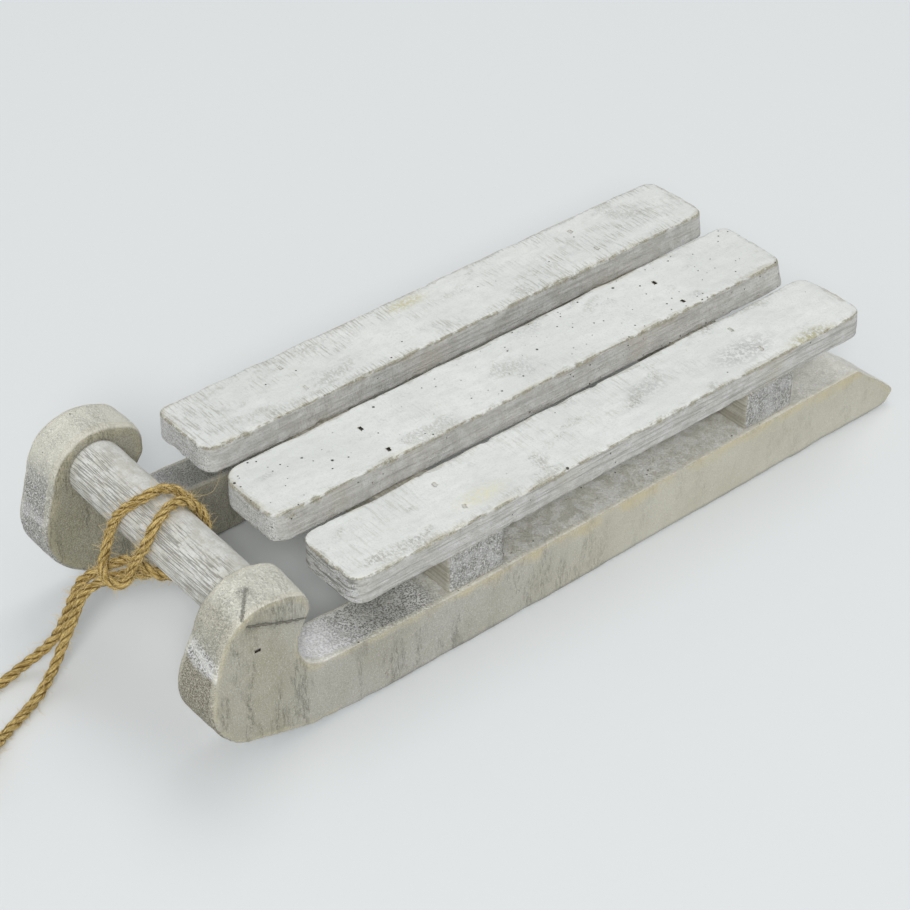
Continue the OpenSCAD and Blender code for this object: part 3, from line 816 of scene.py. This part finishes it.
def cap(ring, step, seed):
    """Points inside the ring on a loose grid, and triangles over the whole of it."""
    rng = np.random.default_rng(seed)
    low, high = ring.min(0), ring.max(0)
    rows = np.arange(low[1], high[1], step * 0.87)
    grid = [(x + (step / 2 if j % 2 else 0), y) for j, y in enumerate(rows)
            for x in np.arange(low[0], high[0], step)]
    grid = np.array(grid) + rng.uniform(-0.18, 0.18, (len(grid), 2)) * step
    grid = grid[inside(grid, ring)]
    far = ring_distance(grid, ring)
    grid, far = grid[far > step * 0.55], far[far > step * 0.55]
    n = len(ring)
    result = delaunay_2d_cdt([Vector(p) for p in np.vstack([ring, grid])],
                             [(i, (i + 1) % n) for i in range(n)], [], 1, 1e-7)
    every = np.vstack([ring, grid])
    source = [o[0] if o else int(np.argmin(((every - np.array(p)) ** 2).sum(1)))
              for o, p in zip(result[3], result[0])]
    tris = [tuple(source[v] for v in f) for f in result[2]]
    return grid, far, [t for t in tris if len(set(t)) == 3]


EDGE_ROWS = 5


def prism(name, outline, low, high, place, radius, material, passes=4, step=0.6, seed=1, edge_reach=2.6):
    """A board: the outline drawn out from low to high and turned into place, its edges rounded by
    radius(u, v, side) and each point's nearness to an edge kept in the mesh as "edge"."""
    ring = closed_resample(outline, step, passes)
    n = len(ring)
    ahead = np.roll(ring, -1, 0) - np.roll(ring, 1, 0)
    ahead /= np.linalg.norm(ahead, axis=1)[:, None]
    inward = np.column_stack([-ahead[:, 1], ahead[:, 0]])
    area = 0.5 * np.sum(ring[:, 0] * np.roll(ring[:, 1], -1) - np.roll(ring[:, 0], -1) * ring[:, 1])
    if area < 0:
        inward = -inward
    r_low = np.array([radius(u, v, -1) for u, v in ring])
    r_high = np.array([radius(u, v, 1) for u, v in ring])
    rows, edge = [], []
    for k in range(EDGE_ROWS + 1):
        t = k / EDGE_ROWS * math.pi / 2
        rows.append((ring + inward * (r_low * (1 - math.sin(t)))[:, None], low + r_low * (1 - math.cos(t))))
        edge.append(1.0)
    walls = max(2, round((high - low - 2) / step))
    for k in range(1, walls):
        h = lerp(low + r_low, high - r_high, k / walls)
        rows.append((ring, h))
        edge.append(max(0, 1 - (high - low) * min(k, walls - k) / walls / edge_reach))
    for k in range(EDGE_ROWS + 1):
        t = (1 - k / EDGE_ROWS) * math.pi / 2
        rows.append((ring + inward * (r_high * (1 - math.sin(t)))[:, None],
                     high - r_high * (1 - math.cos(t))))
        edge.append(1.0)
    verts, wear, faces = [], [], []
    for (flat, h), e in zip(rows, edge):
        verts += [place(u, v, w) for (u, v), w in zip(flat, np.broadcast_to(h, n))]
        wear += [e] * n
    flip = area < 0
    for k in range(len(rows) - 1):
        for i in range(n):
            a, b = k * n + i, k * n + (i + 1) % n
            f = (a, b, b + n, a + n)
            faces.append(f[::-1] if flip else f)
    for row, h, down in ((0, low, True), (len(rows) - 1, high, False)):
        grid, far, tris = cap(rows[row][0], step * 1.15, seed + row)
        base, start = row * n, len(verts)
        verts += [place(u, v, h) for u, v in grid]
        wear += [max(0, 1 - d / edge_reach) for d in far]
        for t in tris:
            t = tuple(base + i if i < n else start + i - n for i in t)
            faces.append(t[::-1] if down else t)
    obj = new_mesh(name, verts, faces, material)
    obj.data.attributes.new("edge", "FLOAT", "POINT").data.foreach_set("value", wear)
    return obj


def roughen(obj, seed, along, wave, dents, chips=0.5):
    """Moves the points a little along their normals: long waves, small dents, and chips at the edges.
    along is the grain's axis, 0 to 2."""
    shift = Vector((seed * 17.3, seed * 5.1, seed * 9.7))
    long_scale, short_scale = Vector((0.09, 0.09, 0.09)), Vector((0.45, 0.45, 0.45))
    long_scale[along], short_scale[along] = 0.028, 0.2
    edge = obj.data.attributes["edge"].data
    moved = []
    for i, v in enumerate(obj.data.vertices):
        q = v.co / MM + shift
        d = wave * noise.noise(q * long_scale) + dents * noise.noise(q * short_scale)
        e = edge[i].value
        if e > 0.6:
            chip = noise.noise(q * 0.33)
            d -= chips * max(0, chip - 0.28) * (e - 0.6) / 0.4
        moved += (v.co + v.normal * d * MM)[:]
    obj.data.vertices.foreach_set("co", moved)
    obj.data.update()


def swell(obj, centre, size, move):
    """Pushes the wood by move at centre, fading to nothing at size away; all in mm."""
    for v in obj.data.vertices:
        d = math.hypot(*((v.co[i] / MM - centre[i]) / size[i] for i in range(3)))
        v.co += Vector(move) * MM * ease(1 - d)


def arc(c, r, start, stop, step=6):
    """Points on the circle of radius r round c, from start to stop degrees."""
    n = max(2, math.ceil(abs(stop - start) / step))
    angles = [math.radians(lerp(start, stop, i / n)) for i in range(n + 1)]
    return [(c[0] + r * math.cos(a), c[1] + r * math.sin(a)) for a in angles]


NOSE_R, KNOB_R, THROAT_R, UPTURN_R = 15, 12.7, 8.6, 170
LIP_Z = 35                      # where the head's knob gives way to the throat
THROAT_SET, THROAT_Z = 16.8, 26.8      # the throat's middle, behind the knob's and over the ground
STEP_Y = -44.1                  # where the throat's floor has come down to the runner's top
TAIL_SLOPE, TAIL_UNDERCUT, TAIL_TIP_Z = 15, 2.6, 3.5


def runner_outline(nose_y, nose_z, head_h):
    """A runner from the side, from its sole's rear end forwards and over the head."""
    knob = (nose_y + NOSE_R, head_h - KNOB_R)
    nose = (nose_y + NOSE_R, nose_z)
    upturn = (nose[0] + (UPTURN_R - NOSE_R) * math.sin(math.radians(13)), UPTURN_R)
    lip = math.degrees(math.asin((LIP_Z - knob[1]) / KNOB_R))
    return ([(TAIL_Y - TAIL_UNDERCUT, 0)] + arc(upturn, UPTURN_R, 270, 262) + arc(nose, NOSE_R, 246, 172)
            + arc(knob, KNOB_R, 166, lip) + arc((knob[0] + THROAT_SET, THROAT_Z), THROAT_R, 166, 275)
            + [(STEP_Y, RUNNER_H), (TAIL_Y - TAIL_SLOPE, RUNNER_H), (TAIL_Y, TAIL_TIP_Z)])


def wavy(base, spread, seed, pace=0.12):
    """An edge radius that drifts about base."""
    def radius(u, v, side):
        return max(0.25, base + spread * noise.noise(Vector((u * pace, v * pace, seed + side * 3.7))) * 2)
    return radius


def left_edges(u, v, side):
    """The near runner's edges, rounder round the head."""
    r = wavy(0.65, 0.25, 4)(u, v, side)
    return r + (0.5 * ease((-70 - u) / 8) if v > 10 else 0)


def right_edges(u, v, side):
    """The far runner's edges, much rounder on the inner side of the head."""
    r = wavy(0.65, 0.25, 9)(u, v, side)
    return r + (1.2 if side > 0 else 0.4) * ease((-68 - u) / 8)


def upright_place(u, v, h):
    return (h, u, v)


LEFT_HEAD_H, RIGHT_HEAD_H = 43.1, 47.2
left_runner = prism("runner_left", runner_outline(FRONT_Y, 20, LEFT_HEAD_H), HALF_W - LEFT_T, HALF_W,
                    upright_place, left_edges, MAT["runner_left"], seed=2, passes=2)
right_runner = prism("runner_right", runner_outline(FRONT_Y + 3, 22, RIGHT_HEAD_H), -HALF_W,
                     RIGHT_T - HALF_W, upright_place, right_edges, MAT["runner_right"], seed=3, passes=2)


def slat_outline(x, y, w, length, corners):
    """A slat from above; corners are its radii at back left, back right, front right and front left."""
    lo, hi, top = x - w / 2, x + w / 2, y + length
    out = []
    for cx, cy, r, a in zip((hi, lo, lo, hi), (top, top, y, y), corners, (0, 90, 180, 270)):
        sx, sy = (-1 if cx == hi else 1), (-1 if cy == top else 1)
        out += arc((cx + sx * r, cy + sy * r), r, a, a + 90, 15)
    return out


def flat_place(u, v, h):
    return (u, v, h)


def slat_edges(seed):
    drift = wavy(0.8, 0.3, seed)
    return lambda u, v, side: drift(u, v, side) if side > 0 else 0.35


# Each slat's middle across the sled, front end, width, length and corner radii.
SLATS = {"left": (29.8, -69, 20.9, 161.6, (3.2, 3.5, 3.6, 4)),
         "middle": (0, -69.7, 21.7, 164, (3, 3, 6, 3.6)),
         "right": (-29.8, -67.1, 21.5, 162.5, (3, 3, 3, 3.4))}
# How far each slat's left side, and its rear end, lean outward at the bottom.
LEAN = {"left": (0, 0.5), "middle": (1.3, 0.8), "right": (0.6, 0.3)}
slats = {}
for i, (side, (x, y, w, length, corners)) in enumerate(SLATS.items()):
    slats[side] = prism("slat_" + side, slat_outline(x, y, w, length, corners), BATTEN_TOP, DECK_TOP,
                        flat_place, slat_edges(20 + i), MAT["slat_" + side], seed=30 + i)
battens = {}
for i, (end, y) in enumerate(BATTEN_Y.items()):
    outline = slat_outline(0, y - BATTEN_W / 2, BATTEN_L, BATTEN_W, (0.8,) * 4)
    battens[end] = prism("batten_" + end, outline, RUNNER_H, BATTEN_TOP, flat_place,
                         wavy(0.55, 0.2, 40 + i), MAT["batten"], seed=50 + i)


def rod(name, a, b, r, material, step=0.6, around=84):
    """A round bar from a to b."""
    axis = (b - a).normalized()
    u = (Vector((0, 0, 1)) - axis * axis.z).normalized()
    v = axis.cross(u)
    n = round((b - a).length / step)
    verts = [a.lerp(b, i / n) + (u * math.cos(t) + v * math.sin(t)) * r for i in range(n + 1)
             for t in (2 * math.pi * k / around for k in range(around))]
    faces = [(i * around + k, i * around + (k + 1) % around, (i + 1) * around + (k + 1) % around,
              (i + 1) * around + k) for i in range(n) for k in range(around)]
    faces += [tuple(range(around - 1, -1, -1)), tuple(range(n * around, (n + 1) * around))]
    obj = new_mesh(name, verts, faces, material)
    obj.data.attributes.new("edge", "FLOAT", "POINT")
    return obj


BAR_END = Vector((0.3, 0, 0))      # the bar runs this far into each head, out of sight
bar = rod("front_crossbar", BAR[1] - BAR_END, BAR[0] + BAR_END, BAR_R, MAT["bar"])

# The heads and the near tail are sawn by hand, a little fuller or leaner than the pattern.
swell(left_runner, (40, -81.5, 41), (30, 9, 8), (0, 1.6, 1.2))
ASKEW = 2      # the near head's inner side lies this much further back
for v in left_runner.data.vertices:
    v.co.y += ASKEW * MM * (HALF_W - v.co.x / MM) / LEFT_T * ease((v.co.z / MM - 26) / 9)
swell(right_runner, (-35, -105, 24), (30, 12, 16), (0, -1.1, 0))
swell(right_runner, (-35, -78, 42), (30, 8, 8), (0, 1.2, 0.7))
swell(left_runner, (34, 105, 9), (40, 14, 14), (0, 0.8, 0.3))
for side, (out, back) in LEAN.items():
    x, y, w, length, _ = SLATS[side]
    for v in slats[side].data.vertices:
        low = (DECK_TOP * MM - v.co.z) / (DECK_TOP - BATTEN_TOP)
        v.co.x += low * out * min(1, max(0, (v.co.x / MM - x) / (w / 2)))
        v.co.y += low * back * min(1, max(0, (v.co.y / MM - y) / length * 4 - 3))
roughen(left_runner, 1, 1, wave=0.35, dents=0.12)
roughen(right_runner, 2, 1, wave=0.35, dents=0.12)
for runner in (left_runner, right_runner):      # nothing reaches below the ground
    for v in runner.data.vertices:
        v.co.z = max(v.co.z, 0)
for i, side in enumerate(SLATS):
    roughen(slats[side], 3 + i, 1, wave=0.3, dents=0.14, chips=0.9)
for i, end in enumerate(battens):
    roughen(battens[end], 8 + i, 0, wave=0.1, dents=0.1)
roughen(bar, 11, 0, wave=0.2, dents=0.08)

# Brad slots: (piece, middle of the slot, size, open or filled with paint).
BRAD_GAP = 10.5                 # between the two brads across a slat
MIDDLE_BRAD_OFF = 2.4           # how far the middle slat's brads stand off its middle
HEAD_SLOT = (1.6, 1.5, 0.8)
OPEN_SLOT, FILLED_SLOT = (1.4, 0.8, 1.6), (1.4, 0.8, 0.5)
SLOTS = [(left_runner, (HALF_W, -95.3, 31.7), HEAD_SLOT, True),
         (right_runner, (-HALF_W, -95.3, 33.9), HEAD_SLOT, True)]
for side, (x, *_) in SLATS.items():
    is_open = side == "middle"
    mid = MIDDLE_BRAD_OFF if is_open else x
    size = OPEN_SLOT if is_open else FILLED_SLOT
    for bx in (-BRAD_GAP / 2, BRAD_GAP / 2):
        SLOTS += [(slats[side], (mid + bx, by, DECK_TOP), size, is_open) for by in BATTEN_Y.values()]


def cut_slots(obj, slots):
    """Cuts the brads' slots out of a piece, a little askew and ragged like the real ones."""
    rng = random.Random(len(obj.name))
    verts, faces, inks = [], [], []
    for centre, size, is_open in slots:
        base = len(verts)
        spin = Matrix.Rotation(rng.uniform(-0.2, 0.2), 3, (1, 0, 0) if size[1] > size[0] * 0.9 else (0, 0, 1))
        for k in range(8):
            corner = Vector([size[i] * ((k >> i & 1) - 0.5) * rng.uniform(0.85, 1.1) for i in range(3)])
            verts.append(Vector(centre) + spin @ corner)
        for f in ((0, 2, 3, 1), (4, 5, 7, 6), (0, 1, 5, 4), (2, 6, 7, 3), (0, 4, 6, 2), (1, 3, 7, 5)):
            faces.append(tuple(base + i for i in f))
            inks.append(0 if is_open else 1)
    cutter = new_mesh("slot_cutter", verts, faces, MAT["hole"], smooth=False)
    cutter.data.materials.append(MAT["filler"])
    cutter.data.polygons.foreach_set("material_index", inks)
    cut = obj.modifiers.new("slots", "BOOLEAN")
    cut.object, cut.operation, cut.solver, cut.material_mode = cutter, "DIFFERENCE", "EXACT", "TRANSFER"
    mesh = bpy.data.meshes.new_from_object(obj.evaluated_get(bpy.context.evaluated_depsgraph_get()))
    obj.modifiers.clear()
    obj.data = mesh
    bpy.data.objects.remove(cutter)


for obj in (left_runner, right_runner, *slats.values()):
    cut_slots(obj, [slot[1:] for slot in SLOTS if slot[0] is obj])

WOOD = [(left_runner, "drift_wood", "left_runner"), (right_runner, "drift_wood", "right_runner"),
        (bar, "white_wood", "crossbar"), (battens["front"], "white_wood", "front_batten"),
        (battens["rear"], "white_wood", "rear_batten")]
WOOD += [(slats[side], "white_wood", side + "_slat") for side in SLATS]
for obj, slot, node in WOOD:
    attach(obj, "root")
    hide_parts(node)
